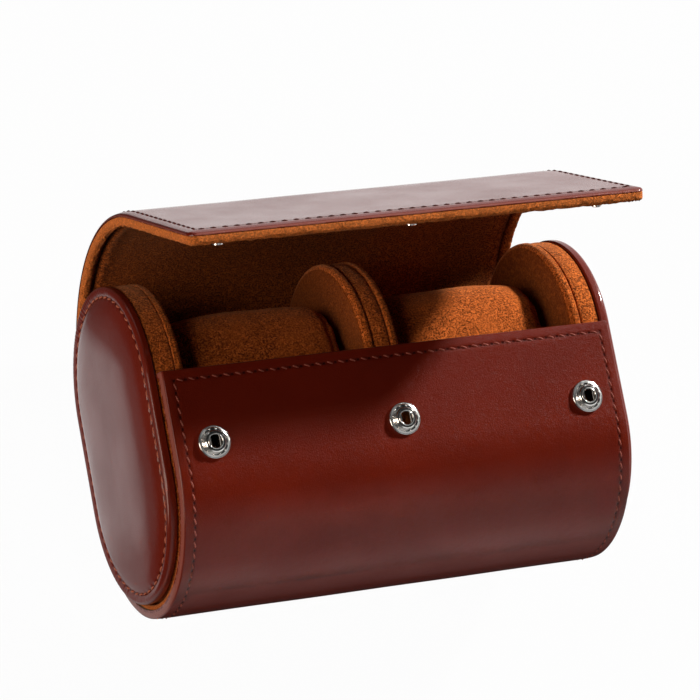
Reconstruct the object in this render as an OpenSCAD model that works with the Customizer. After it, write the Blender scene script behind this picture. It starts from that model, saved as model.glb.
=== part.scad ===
// Watch travel roll: a leather-covered tube of stadium section with two compartments,
// lying on its flat back. X runs along the roll axis, Y from the round bottom towards
// the mouth, and Z up from the flat back to the front panel. Sizes are in millimetres.

/* [Wrap] */
// Width of the wrap along the roll axis
wrap_w = 160; // [130:1:200]
// Depth of the section, from the flat back to the front panel
section_d = 84; // [80:1:104]
// Length of the flat stretch between the two round ends of the section
flat_l = 32; // [26:1:44]
// Thickness of the covering leather
leather_t = 1.5; // [1:0.1:2]
// Thickness of the stiffening board in the wrap
board_t = 1.4; // [1:0.1:2]
// Thickness of the suede lining in the wrap
lining_t = 1.7; // [1:0.1:2.4]
// Radius of the corners at the wrap's and the lid's free edges
corner_r = 3.5; // [1:0.5:6]

/* [Lid] */
// How much wider the lid's resting curl is than the case's own curve
lid_slack = 15.2; // [13:0.2:20]
// Angle that the lid's curl turns through at rest
lid_turn = 111; // [104:1:116]
// Thickness of the lid's suede with its foam backing
lid_lining_t = 2.8; // [2.4:0.1:3.2]
// Distance from the studs to the lid's front edge
stud_inset = 10; // [7:0.5:14]
// Distance between the two folds of the lid's tip
tip_gap = 10; // [8:0.5:14]

/* [Ends] */
// Gap between an end disc and the lining round it
disc_gap = 0.4; // [0.3:0.1:0.8]
// Thickness of the suede panel on the inside of each end
face_t = 3.3; // [2.5:0.1:5]
// Thickness of the board disc in each end
core_t = 6.8; // [4:0.2:10]
// Thickness of the suede band round each board disc
band_t = 1.4; // [1:0.1:2]
// Height of the leather rim outside the wrap
rim_h = 2.8; // [2.2:0.1:4]
// Height of the padded middle above the rim
pad_h = 2.4; // [1:0.1:4]
// Width of the flat rim round the padded middle
rim_w = 5.5; // [4:0.5:8]

/* [Divider] */
// Width of the divider between the two compartments
divider_w = 12.6; // [9:0.2:18]
// Gap between the divider and the lining round it
divider_gap = 0.7; // [0.3:0.1:0.8]

/* [Cushions] */
// Depth of a cushion, front to back
cushion_d = 59; // [50:1:62]
// Radius of a cushion's long edges
cushion_r = 16; // [12:1:20]
// How far a cushion stands above the edge of the front panel
cushion_rise = 22; // [10:1:26]
// Room beside a cushion at each of its ends
cushion_play = 2.7; // [1:0.1:5]
// Thickness of a cushion's suede cover
cover_t = 1.4; // [1:0.1:2]
// Gap between a cushion and the lining that it sits on
seat_gap = 0.3; // [0.2:0.1:0.6]

/* [Snaps] */
// Distance of the outer snaps from the ends of the wrap
snap_edge = 13.2; // [10:0.2:30]
// Distance of the snaps from the edge of the front panel
snap_drop = 25.5; // [18:0.5:30]
// Diameter of a socket's flange
socket_d = 10.8; // [9:0.2:12]
// Height of a socket above the leather
socket_h = 2.2; // [1.8:0.1:2.4]
// Diameter of a socket's hole
socket_hole_d = 4.6; // [4.2:0.1:5]
// Diameter of a stud's head
stud_head_d = 3.4; // [3:0.1:3.6]
// Diameter of a stud's neck
stud_neck_d = 2.4; // [2:0.1:2.6]
// Diameter of a stud's base plate
stud_base_d = 8; // [7:0.2:9]

/* [Hidden] */
$fn = 96;
// Gap between layers that lie on each other
ply = 0.1;
// Gap between seams, and between the strips of the lid at their folds
seam = 0.2;
fold_gap = 0.3;
// Spare angle on each side of a fold
fold_spare = 0.4;
// Clearance between the closed lid and what it closes on
lid_clear = 0.3;
// Length of lid that a fold at the panel's edge needs beyond the tightest path
tip_slack = 3;
// Longer than any cut through the section
far = 400;

outer_r = section_d / 2;
wrap_t = leather_t + board_t + lining_t + 2 * ply;
inner_r = outer_r - wrap_t;
mid_z = section_d / 2;
hinge_y = flat_l / 2;

disc_r = inner_r - disc_gap;
divider_r = inner_r - divider_gap;
core_x = wrap_w / 2 - core_t;
face_x = core_x - seam - face_t;
cap_x = wrap_w / 2 + seam;

lid_t = leather_t + ply + lid_lining_t;
curl_r = outer_r + lid_slack;
curl_in_r = curl_r - lid_t;
curl_mid = [hinge_y, curl_r];
curl_l = curl_in_r * lid_turn * PI / 180;
curl_folds = 4;
fold_open = lid_turn / curl_folds;

// The tightest path of the closed lid's inner face, from the hinge line over the end
// discs to the edge of the front panel
hug_r = disc_r + lid_clear;
hug_a = 180 - acos(hug_r / outer_r);
hug_l = hug_r * hug_a * PI / 180 + sqrt(outer_r * outer_r - hug_r * hug_r);
tip_s = hug_l + tip_slack - tip_gap / 2;

// Folds of the lid: place along its inner face, unrolling angle and share of the curl
fold_s = [for (k = [0:curl_folds]) curl_l * k / curl_folds, tip_s, tip_s + tip_gap];
fold_turn = [for (s = fold_s) min(s / curl_l, 1) * lid_turn];
fold_share = [1, 2, 2, 2, 1, 0, 0];
strips = len(fold_s);

// Unit vector along the lid at a heading, and the one out through its leather
function along(a) = [cos(a), sin(a)];
function outward(a) = [sin(a), -cos(a)];

// Point of the lid's inner face at rest, a length s from the hinge line
function lid_point(s) =
    s < curl_l
    ? curl_mid + curl_in_r * outward(lid_turn * s / curl_l)
    : curl_mid + curl_in_r * outward(lid_turn) + (s - curl_l) * along(lid_turn);

// Point p turned through angle a about point c
function turned(p, c, a) = let (d = p - c)
    c + [d[0] * cos(a) - d[1] * sin(a), d[0] * sin(a) + d[1] * cos(a)];

// Angle of fold k in the closed lid, when the first fold has turned by a
function tip_angle(a) = (180 - lid_turn - 2 * curl_folds * a) / 2;
function fold_angle(k, a) = k > curl_folds ? tip_angle(a) : fold_share[k] * a;

// Where the point p of the resting lid goes as the folds from k inwards turn
function closed_point(p, a, k = strips - 1) =
    k < 0 ? p : closed_point(turned(p, lid_point(fold_s[k]), fold_angle(k, a)), a, k - 1);

// First fold's closing angle, halving the range until the tip lies on the snaps
snap_gap = socket_h + lid_clear;
function closing(low, high, n = 30) = let (a = (low + high) / 2)
    n == 0 ? a
    : closed_point(lid_point(tip_s + tip_gap), a)[1] > section_d + snap_gap
    ? closing(a, high, n - 1)
    : closing(low, a, n - 1);
close_a = closing(0, 8);

// Length of the lid that puts its studs over the sockets
snap_y = hinge_y - snap_drop;
stud_s = tip_s + tip_gap + closed_point(lid_point(tip_s + tip_gap), close_a)[0] - snap_y;
lid_l = stud_s + stud_inset;
snap_xs = [-(wrap_w / 2 - snap_edge), 0, wrap_w / 2 - snap_edge];

cushion_x = divider_w / 2 + cushion_play;
cushion_end_x = face_x - cushion_play;
cushion_top = hinge_y + cushion_rise;
seat_reach = inner_r - seat_gap - cushion_r;
seat_side = cushion_d / 2 - cushion_r;
cushion_bottom = -hinge_y - sqrt(seat_reach * seat_reach - seat_side * seat_side) - cushion_r;

edge_y = hinge_y - fold_gap / 2;
turn_in = 1.2;
rim_soft = 1.2;
ease = 0.5;
divider_core_w = divider_w - 2 * (face_t + seam);

barrel_t = 0.5;
ring_t = 1.3;
bevel = 0.3;
flange_edge_h = 0.7;
flange_h = 1.1;
flange_slope = 0.9;
ring_foot_h = 0.9;
barrel_r = socket_hole_d / 2 + barrel_t;
ring_r = socket_hole_d / 2 + ring_t;
socket_back_d = 9;
back_t = 0.8;
hole_clear = 0.15;
wire_r = 0.25;
wire_play = 0.2;
wire_z = socket_h - 0.5;
wire_x = stud_neck_d / 2 + wire_r + wire_play;
spring_r = socket_hole_d / 2 + 0.3;
groove_r = spring_r + wire_r + 0.05;
groove_w = 0.6;
stud_h = socket_h;
stud_head_h = 1;
stud_head_round = 0.4;
stud_base_t = 0.8;

leather_colour = [0.36, 0.10, 0.07];
suede_colour = [0.72, 0.42, 0.22];
board_colour = [0.55, 0.47, 0.36];
foam_colour = [0.85, 0.83, 0.76];
metal_colour = [0.80, 0.80, 0.82];

// ---- Shapes ----

// Extrudes a section drawn in Y and Z from one place on the roll axis to another
module along_x(x0, x1) {
    translate([x0, 0, 0]) rotate([90, 0, 90]) linear_extrude(x1 - x0) children();
}

// Stadium section with round ends of radius r about the section's middle line
module stadium(r) {
    translate([0, mid_z]) {
        square([flat_l, 2 * r], center = true);
        for (side = [-1, 1]) translate([side * hinge_y, 0]) circle(r);
    }
}

// Plate whose edge profile runs round the stadium: the profile's first coordinate is
// the distance from the middle line, its second the height along the roll axis
module track() {
    for (side = [-1, 1]) translate([0, side * hinge_y, mid_z])
        rotate([90, 0, 90]) rotate(-90 * side) rotate_extrude(angle = 180) children();
    translate([0, -hinge_y, mid_z]) rotate([-90, 0, 0]) rotate(-90) linear_extrude(flat_l)
        for (side = [0, 1]) mirror([side, 0]) children();
}

// What rounding takes off the two corners of a sheet that ends at y_end
module corner_cuts(y_end, half_w) {
    for (side = [-1, 1]) translate([side * (half_w - corner_r), y_end - corner_r]) difference() {
        translate([side > 0 ? 0 : -2 * corner_r, 0]) square(2 * corner_r);
        circle(corner_r);
    }
}

// Rectangle with rounded corners, centred
module round_rect(w, h, r) {
    square([w - 2 * r, h], center = true);
    square([w, h - 2 * r], center = true);
    for (x = [-1, 1], y = [-1, 1]) translate([x * (w / 2 - r), y * (h / 2 - r)]) circle(r);
}

// Places children at each socket, their Z out of the front panel
module at_sockets() {
    for (x = snap_xs) translate([x, snap_y, section_d]) children();
}

// Places children at each stud, their Z out of the lid's inner face
module at_studs() {
    p = lid_point(stud_s);
    for (x = snap_xs) translate([x, p[0], p[1]]) rotate([lid_turn, 0, 0]) children();
}

// ---- Wrap ----

// One layer of the wrap between two radii, open at the mouth, less the sockets' holes
module wrap_layer(r0, r1, y_front) {
    difference() {
        along_x(-wrap_w / 2, wrap_w / 2) difference() {
            stadium(r1);
            stadium(r0);
            translate([edge_y, -far / 2]) square(far);
            translate([y_front, mid_z]) square(far);
        }
        translate([0, 0, mid_z]) linear_extrude(far) corner_cuts(y_front, wrap_w / 2);
        at_sockets() translate([0, 0, -mid_z]) cylinder(r = barrel_r + hole_clear, h = far);
    }
}

module wrap_leather() {
    color(leather_colour) {
        wrap_layer(outer_r - leather_t, outer_r, edge_y);
        panel_edge();
    }
}

// The leather turned in over the front panel's free edge
module panel_edge() {
    half_w = wrap_w / 2 - corner_r;
    translate([-half_w, edge_y - turn_in, section_d - wrap_t])
        cube([2 * half_w, turn_in, wrap_t - leather_t]);
}

module wrap_board() {
    r0 = inner_r + lining_t + ply;
    color(board_colour) wrap_layer(r0, r0 + board_t, edge_y - turn_in - ply);
}

module wrap_lining() {
    color(suede_colour) difference() {
        wrap_layer(inner_r, inner_r + lining_t, edge_y - turn_in - ply);
        at_sockets() translate([0, 0, -wrap_t - ply])
            cylinder(d = socket_back_d + 2 * hole_clear, h = back_t + 2 * ply);
    }
}

// ---- Lid ----

// How far the cut at fold k leans into each strip beside it, so that the lid unrolls
function fold_cut(k) = k > curl_folds ? fold_spare : fold_spare + fold_share[k] * fold_open / 4;

// Outline of strip k of the lid in Y and Z, from its inner face out past its leather
module strip_wedge(k) {
    last = k == strips - 1;
    reach = 4 * lid_t;
    a0 = fold_turn[k];
    a1 = last ? lid_turn : fold_turn[k + 1];
    cut0 = k == 0 ? 2 * fold_cut(0) : fold_cut(k);
    cut1 = last ? 0 : fold_cut(k + 1);
    p0 = lid_point(fold_s[k]) + fold_gap / 2 * along(a0);
    p1 = last ? lid_point(lid_l) : lid_point(fold_s[k + 1]) - fold_gap / 2 * along(a1);
    polygon([p0, p0 + reach * outward(a0 + cut0), p1 + reach * outward(a1 - cut1), p1]);
}

// Strip k of the lid between two depths below its inner face
module strip(k, depth0, depth1) {
    along_x(-wrap_w / 2, wrap_w / 2) intersection() {
        strip_wedge(k);
        if (k < curl_folds) translate(curl_mid) difference() {
            circle(curl_in_r + depth1);
            circle(curl_in_r + depth0);
        }
        else translate(lid_point(curl_l)) rotate(lid_turn)
            translate([0, -depth1]) square([far, depth1 - depth0]);
    }
}

// What rounding takes off the lid's front corners
module lid_corner_cuts() {
    p = lid_point(lid_l);
    translate([0, p[0], p[1]]) rotate([lid_turn, 0, 0]) translate([0, 0, -2 * lid_t])
        linear_extrude(4 * lid_t) corner_cuts(0, wrap_w / 2);
}

module lid_leather(k) {
    color(leather_colour) difference() {
        strip(k, lid_t - leather_t, lid_t);
        if (k == strips - 1) lid_corner_cuts();
    }
}

module lid_lining(k) {
    color(suede_colour) difference() {
        strip(k, 0, lid_lining_t);
        if (k == strips - 1) lid_corner_cuts();
        if (k == strips - 1) at_studs() stud_pocket();
    }
}

// Room in the lining for a stud's base plate, its post and the plate behind it
module stud_pocket() {
    base_r = stud_base_d / 2 + hole_clear;
    translate([0, 0, -stud_base_t - ply]) cylinder(r = base_r, h = lid_t);
    translate([0, 0, -lid_t]) cylinder(r = stud_neck_d / 2 + hole_clear, h = lid_t);
    translate([0, 0, -lid_lining_t - ply]) cylinder(r = base_r, h = stud_base_t + 2 * ply);
}

// ---- Ends ----

// Edge profile of an end's cover, drawn in by a skin's thickness
module cap_outline(skin) {
    reach = disc_r - skin;
    height = rim_h - skin;
    soft = min(rim_soft, height / 2);
    middle_r = disc_r - rim_w - skin;
    slope = 2 * pad_h;
    base = skin > 0 ? -seam : 0;
    polygon([
        [0, base], [reach, base], [reach, height - soft], [reach - soft, height],
        [middle_r, height], [middle_r - slope, height + pad_h], [0, height + pad_h]
    ]);
}

module end_leather() {
    color(leather_colour) translate([cap_x, 0, 0]) track() difference() {
        cap_outline(0);
        cap_outline(leather_t);
    }
}

module end_pad() {
    color(foam_colour) translate([cap_x, 0, 0]) track() intersection() {
        cap_outline(leather_t + ply);
        square(far);
    }
}

module end_board() {
    color(board_colour) along_x(core_x, core_x + core_t) stadium(disc_r - band_t - ply);
}

module end_band() {
    color(suede_colour) translate([core_x, 0, 0]) track() band_outline(disc_r, core_t);
}

module end_face() {
    color(suede_colour) translate([face_x, 0, 0]) track() face_outline(disc_r, face_t);
}

// Edge profile of a suede band of radius r and width w, its two rims eased
module band_outline(r, w) {
    polygon([
        [r - band_t, 0], [r - ease, 0], [r, ease], [r, w - ease], [r - ease, w], [r - band_t, w]
    ]);
}

// Edge profile of a suede face panel of radius r, its outer rim rounder than the seam's
module face_outline(r, t) {
    soft = t / 3;
    polygon([[0, 0], [r - soft, 0], [r, soft], [r, t - ease], [r - ease, t], [0, t]]);
}

// ---- Divider ----

module divider_board() {
    color(board_colour) along_x(-divider_core_w / 2, divider_core_w / 2)
        stadium(divider_r - band_t - ply);
}

module divider_band() {
    color(suede_colour) translate([-divider_core_w / 2, 0, 0])
        track() band_outline(divider_r, divider_core_w);
}

// The face on the side of the left compartment
module divider_face() {
    color(suede_colour) translate([-divider_w / 2, 0, 0]) track() face_outline(divider_r, face_t);
}

// ---- Cushions ----

// A cushion's section, drawn in by a skin's thickness
module cushion_section(skin) {
    translate([(cushion_top + cushion_bottom) / 2, mid_z])
        round_rect(cushion_top - cushion_bottom - 2 * skin, cushion_d - 2 * skin, cushion_r - skin);
}

module cushion_cover() {
    color(suede_colour) difference() {
        along_x(cushion_x, cushion_end_x) cushion_section(0);
        along_x(cushion_x + cover_t, cushion_end_x - cover_t) cushion_section(cover_t);
    }
}

module cushion_core() {
    skin = cover_t + ply;
    color(foam_colour) along_x(cushion_x + skin, cushion_end_x - skin) cushion_section(skin);
}

// ---- Snaps ----

// A socket: barrel through the wrap, flange on the leather and raised ring with a groove
module socket() {
    hole_r = socket_hole_d / 2;
    flange_r = socket_d / 2;
    barrel_l = wrap_t - ply;
    difference() {
        rotate_extrude() polygon([
            [hole_r, -barrel_l], [barrel_r, -barrel_l], [barrel_r, ply], [flange_r, ply],
            [flange_r, flange_edge_h], [flange_r - flange_slope, flange_h], [ring_r, ring_foot_h],
            [ring_r, socket_h - bevel], [ring_r - bevel, socket_h], [hole_r, socket_h]
        ]);
        translate([0, 0, wire_z - groove_w / 2]) cylinder(r = groove_r, h = groove_w);
    }
}

module snap_sockets() {
    color(metal_colour) at_sockets() socket();
}

// The two sprung wires of each socket, straight across its hole with their ends in the groove
module snap_springs() {
    leg = 2 * sqrt(spring_r * spring_r - wire_x * wire_x);
    color(metal_colour) at_sockets() for (side = [-1, 1])
        translate([side * wire_x, -leg / 2, wire_z]) rotate([-90, 0, 0])
            cylinder(r = wire_r, h = leg, $fn = 24);
}

module snap_socket_backs() {
    color(metal_colour) at_sockets() translate([0, 0, -wrap_t]) difference() {
        cylinder(d = socket_back_d, h = back_t);
        translate([0, 0, -ply]) cylinder(r = barrel_r + ply, h = 2 * back_t);
    }
}

// A stud: base plate let into the lining, neck, head, and post back through the lining
module stud() {
    neck_r = stud_neck_d / 2;
    head_r = stud_head_d / 2;
    base_r = stud_base_d / 2;
    head_z = stud_h - stud_head_h;
    post_l = lid_lining_t - stud_base_t;
    rotate_extrude() polygon([
        [0, -post_l], [neck_r, -post_l], [neck_r, -stud_base_t], [base_r, -stud_base_t],
        [base_r, -bevel], [base_r - bevel, 0], [neck_r, 0], [neck_r, head_z],
        [head_r, head_z + bevel], [head_r, stud_h - bevel], [head_r - stud_head_round, stud_h],
        [0, stud_h]
    ]);
}

module snap_studs() {
    color(metal_colour) at_studs() stud();
}

module snap_stud_backs() {
    color(metal_colour) at_studs() translate([0, 0, -lid_lining_t])
        cylinder(d = stud_base_d, h = stud_base_t - ply);
}

wrap_leather();
wrap_board();
wrap_lining();
lid_leather(0);  // lid_leather_1
lid_leather(1);  // lid_leather_2
lid_leather(2);  // lid_leather_3
lid_leather(3);  // lid_leather_4
lid_leather(4);  // lid_leather_5
lid_leather(5);  // lid_leather_6
lid_leather(6);  // lid_leather_7
lid_lining(0);  // lid_lining_1
lid_lining(1);  // lid_lining_2
lid_lining(2);  // lid_lining_3
lid_lining(3);  // lid_lining_4
lid_lining(4);  // lid_lining_5
lid_lining(5);  // lid_lining_6
lid_lining(6);  // lid_lining_7
mirror([1, 0, 0]) end_leather();  // left_end_leather
mirror([1, 0, 0]) end_pad();  // left_end_pad
mirror([1, 0, 0]) end_board();  // left_end_board
mirror([1, 0, 0]) end_band();  // left_end_band
mirror([1, 0, 0]) end_face();  // left_end_face
end_leather();  // right_end_leather
end_pad();  // right_end_pad
end_board();  // right_end_board
end_band();  // right_end_band
end_face();  // right_end_face
divider_board();
divider_band();
divider_face();  // divider_left_face
mirror([1, 0, 0]) divider_face();  // divider_right_face
mirror([1, 0, 0]) cushion_cover();  // left_cushion_cover
mirror([1, 0, 0]) cushion_core();  // left_cushion_core
cushion_cover();  // right_cushion_cover
cushion_core();  // right_cushion_core
snap_sockets();
snap_springs();
snap_socket_backs();
snap_studs();
snap_stud_backs();
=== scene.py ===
import math

import bmesh
import bpy
import numpy as np
from bpy.props import FloatProperty, FloatVectorProperty, PointerProperty
from mathutils import Matrix, Vector


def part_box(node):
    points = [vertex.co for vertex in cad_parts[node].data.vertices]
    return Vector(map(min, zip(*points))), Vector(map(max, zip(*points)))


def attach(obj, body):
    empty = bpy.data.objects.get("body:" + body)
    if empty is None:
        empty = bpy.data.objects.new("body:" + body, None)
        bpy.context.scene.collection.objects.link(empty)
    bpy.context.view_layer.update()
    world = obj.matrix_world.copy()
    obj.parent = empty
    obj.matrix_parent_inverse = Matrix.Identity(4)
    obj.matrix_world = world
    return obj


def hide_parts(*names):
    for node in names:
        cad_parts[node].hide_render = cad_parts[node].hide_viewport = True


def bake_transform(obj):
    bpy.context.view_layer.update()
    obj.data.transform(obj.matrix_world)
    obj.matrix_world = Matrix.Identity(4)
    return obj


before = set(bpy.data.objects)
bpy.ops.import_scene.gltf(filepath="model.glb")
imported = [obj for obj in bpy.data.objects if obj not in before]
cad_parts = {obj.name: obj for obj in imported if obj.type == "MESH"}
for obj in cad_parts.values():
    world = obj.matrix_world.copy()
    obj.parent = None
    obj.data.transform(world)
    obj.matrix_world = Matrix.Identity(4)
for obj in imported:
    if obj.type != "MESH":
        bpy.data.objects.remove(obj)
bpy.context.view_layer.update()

bl_info = {
    "name": "Watch travel case",
    "version": (1, 0, 0),
    "blender": (4, 5, 0),
    "location": "View3D > Sidebar > Case",
    "description": "Leather roll for two watches, with a suede lining and a snapped lid",
    "category": "Object",
}

MM = 0.001

# Section of the case: a stadium about a middle line that runs from -HINGE_Y to HINGE_Y
OUTER_R = 42 * MM
HINGE_Y = 16 * MM
MID_Z = OUTER_R
HALF_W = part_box("wrap_leather")[1].x
LEATHER_T = 1.5 * MM
LINING_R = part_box("wrap_lining")[1].z - MID_Z
LINING_T = 1.7 * MM
INNER_R = LINING_R - LINING_T
EDGE_Y = 15.85 * MM
LINING_EDGE_Y = 14.55 * MM
CORNER_R = 3.5 * MM
PANEL_CORNER_R = 1.0 * MM
FLAT_L = 2 * HINGE_Y
ROUND_L = math.pi * OUTER_R
FRONT_L = FLAT_L + ROUND_L + HINGE_Y

# The leather stands out past the board, turns down at its sides and clears the lining
LEATHER_OVER = 0.35 * MM
SIDE_WALL = 0.33 * MM
FRONT_WALL = 1.25 * MM
FRONT_TURN = 2.2 * MM
PLY = 0.05 * MM
BOARD_GAP = 0.02 * MM
WRAP_LEAN = 0.30 * MM
LID_LEAN = 0.90 * MM

# Thread: how deep it beds in the leather, its height over the lid's inner face, and the
# slants in degrees of the stitches along a side, along a front and round an end
THREAD_BED = 0.14 * MM
LID_THREAD_H = 1.15 * MM
SIDE_SLANT, FRONT_SLANT, CAP_SLANT = 16, -24, 9

# The lid, by length along its inner face from the hinge line
LID_T = 4.4 * MM
LID_LINING_T = 2.8 * MM
CURL_R = 57.2 * MM
CURL_IN_R = CURL_R - LID_T
LID_TURN = math.radians(111)
CURL_L = CURL_IN_R * LID_TURN
FOLDS = [0, CURL_L / 4, CURL_L / 2, CURL_L * 3 / 4, CURL_L, 116.14 * MM, 126.14 * MM]
LAST = len(FOLDS) - 1
LID_L = 157.87 * MM
STUD_S = 147.87 * MM
LID_SEAMS = [0] + [(a + b) / 2 for a, b in zip(FOLDS, FOLDS[1:])] + [LID_L]

# Ends and divider, by their radius about the middle line; the faces' numbers are in mm
DISC_R = 36.8 * MM
SLACK = 0.25 * MM
DIVIDER_R = 36.5 * MM
FACE_T, FACE_RIM = 3.3, 1.3
BAND_T = 1.4 * MM

# Where along X the faces start and the bands end
END_FACE_X = 69.7 * MM
END_BAND_X = 79.95 * MM
DIVIDER_FACE_X = 6.3 * MM
DIVIDER_BAND_X = 2.78 * MM

# Snaps: their places, half the side of the square hole under each, and how far the seats
# round the sockets' backs and round the studs reach
SNAP_X = [-66.8 * MM, 0, 66.8 * MM]
SNAP_Y = -9.5 * MM
SNAP_U = FRONT_L + SNAP_Y
SNAP_HOLE = 3.1 * MM
BACK_SEAT = 4.75 * MM
STUD_SEAT = 4.2 * MM

# Grid steps: offsets from a sheet's edge and from a cut, then even rows and columns
EDGE_STEPS = np.array([0, .03, .1, .22, .4, .65, .95, 1.3, 1.8, 2.4, 3.0, 3.4, 3.7, 3.85, 4.0, 4.15,
                       4.3, 4.6, 5.0, 5.6, 6.5, 8, 10]) * MM
END_STEPS = np.array([0, .12, .35, .8]) * MM
ROW_STEP = 0.9 * MM
LEATHER_STEP = 3.5 * MM
LINING_STEP = 1.6 * MM


# ---- Sections and paths ----

def unit(value):
    """The value, held between 0 and 1."""
    return np.clip(value, 0, 1)


def bell(away, width):
    """Bell curve, 1 in its middle: the exponential of minus the square of away / width."""
    return np.exp(-(away / width) ** 2)


def turned_down(edge, depth, soft):
    """Fall of a face near its edge: a quarter ellipse, depth at the edge, none past soft."""
    return depth * (1 - np.sqrt(1 - (1 - unit(edge / soft)) ** 2))


def wrap_path(u):
    """Middle-line point (y, z) and outward direction (y, z) a length u along the wrap's
    outer face from the hinge line: straight back, half circle, then straight forward."""
    a = np.clip((u - FLAT_L) / OUTER_R, 0, math.pi)
    y = HINGE_Y - np.clip(u, None, FLAT_L) + np.clip(u - FLAT_L - ROUND_L, 0, None)
    return y, np.full_like(y, MID_Z), -np.sin(a), -np.cos(a)


def lid_path(s):
    """Inner-face point (y, z) and outward direction (y, z) a length s along the lid from
    the hinge line: an arc that turns by s over its radius, then its tangent."""
    a = np.minimum(s / CURL_IN_R, LID_TURN)
    run = np.clip(s - CURL_L, 0, None)
    y = HINGE_Y + CURL_IN_R * np.sin(a) + run * np.cos(a)
    z = CURL_R - CURL_IN_R * np.cos(a) + run * np.sin(a)
    return y, z, np.sin(a), -np.cos(a)


def carried(path, x, t, h):
    """Points at x along the roll axis, a length t along the path and a height h out of it."""
    y, z, ny, nz = path(t)
    return np.stack(np.broadcast_arrays(x, y + h * ny, z + h * nz), -1)


def track_path(count_flat, count_round):
    """Middle-line y and outward direction (y, z) at steps round the whole stadium: half
    circle, straight, half circle, straight."""
    a = np.linspace(-math.pi / 2, math.pi / 2, count_round + 1)[:-1]
    f = np.linspace(HINGE_Y, -HINGE_Y, count_flat + 1)[:-1]
    y = np.concatenate([np.full_like(a, HINGE_Y), f, np.full_like(a, -HINGE_Y), -f])
    turn = np.concatenate([a, np.full_like(f, math.pi / 2), a + math.pi, np.full_like(f, 1.5 * math.pi)])
    return y, np.cos(turn), np.sin(turn)


def hashed(*values):
    """Repeatable number from -1 to 1 for each place: the fraction of a large sine."""
    total = sum(v * k for v, k in zip(values, (12989.8, 78233.1, 37719.3)))
    s = np.sin(total) * 43758.5453
    return 2 * (s - np.floor(s)) - 1


def waves(p, q, size, seed):
    """Smooth unevenness from -1 to 1: a mean of five sines in turned directions, whose
    lengths run from one to about two times size."""
    total = 0
    for k in range(5):
        a = seed * 1.7 + k * 2.399
        away = p * math.cos(a) + q * math.sin(a)
        total = total + np.sin(away * 2 * math.pi / (size * (1 + 0.23 * k)) + seed + k * k)
    return total / 5


def edge_distance(x, t, half_w, end, corner):
    """Distance inside the outline of a sheet that ends at t = end with rounded corners:
    the rounded rectangle's signed distance, positive inside."""
    qx = np.abs(x) - (half_w - corner)
    qt = t - (end - corner)
    return corner - np.hypot(np.maximum(qx, 0), np.maximum(qt, 0)) - np.minimum(np.maximum(qx, qt), 0)


def row_half_width(t, half_w, end, corner):
    """Half width of the sheet at t, which follows the quarter circle of each corner."""
    q = np.clip(t - (end - corner), 0, corner)
    return half_w - corner + np.sqrt(corner ** 2 - q ** 2)


def sheet_grid(rows, columns, half_w, end, corner, less=0):
    """x, t and the distance inside the outline over a sheet's grid, whose columns are
    drawn in, by their share of the half width, to each row's own half width but for less."""
    t = rows[:, None] * np.ones_like(columns)
    x = columns / half_w * (row_half_width(rows, half_w, end, corner)[:, None] - less)
    return x, t, edge_distance(x, t, half_w - less, end, corner)


def spaced(start, stop, near, step, extra=()):
    """Rising places from start to stop: fine offsets from both ends, even steps between,
    and any extra places."""
    inner = np.arange(start + near[-1], stop - near[-1], step)
    places = np.concatenate([start + near, stop - near, inner, [e for e in extra if start < e < stop]])
    places = np.unique(np.round(places[(places >= start - 1e-9) & (places <= stop + 1e-9)], 8))
    places = places[np.concatenate([[True], np.diff(places) > 0.02 * MM])]
    places[-1] = stop
    return places


def beside(places, *offsets):
    """The places at each offset before and after each of the given ones."""
    return [p + s * d for p in places for s in (-1, 1) for d in offsets]


# ---- Meshes ----

def grid_faces(n, m, closed=False):
    """Quads of an n by m grid of points, joined round the second way when closed."""
    i = np.arange(n * m).reshape(n, m)
    if closed:
        i = np.concatenate([i, i[:, :1]], 1)
    return np.stack([i[:-1, :-1], i[1:, :-1], i[1:, 1:], i[:-1, 1:]], -1)


def tube_faces(count, n, m):
    """Quads of count like tubes, one after another, each of n rings of m points."""
    one = grid_faces(n, m, closed=True).reshape(-1, 4)
    return ((np.arange(count) * n * m)[:, None, None] + one).reshape(-1, 4)


def slab(top, bottom, holes=None):
    """Points and faces of a closed sheet between two like grids: both grids' quads, less
    those in holes, and a strip between the two along every edge used once."""
    n, m = top.shape[:2]
    quads = grid_faces(n, m)
    quads = quads.reshape(-1, 4) if holes is None else quads[~holes]
    a, b = quads.ravel(), np.roll(quads, -1, 1).ravel()
    forward, back = a * (n * m) + b, b * (n * m) + a
    border = ~np.isin(forward, back)
    a, b = a[border], b[border]
    sides = np.stack([b, a, a + n * m, b + n * m], -1)
    faces = np.concatenate([quads, quads[:, ::-1] + n * m, sides])
    return np.concatenate([top.reshape(-1, 3), bottom.reshape(-1, 3)]), faces


def swept(points):
    """Points and faces of a profile carried round a closed track: points is (profile,
    track, 3), joined round the track and, if the profile's ends meet, across it."""
    n, m = points.shape[:2]
    return points.reshape(-1, 3), grid_faces(n, m, closed=True).reshape(-1, 4)


def joined(parts):
    """Points and faces of several meshes as one."""
    first = np.cumsum([0] + [len(points) for points, _ in parts])
    return (np.concatenate([points for points, _ in parts]),
            np.concatenate([faces + n for (_, faces), n in zip(parts, first)]))


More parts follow.
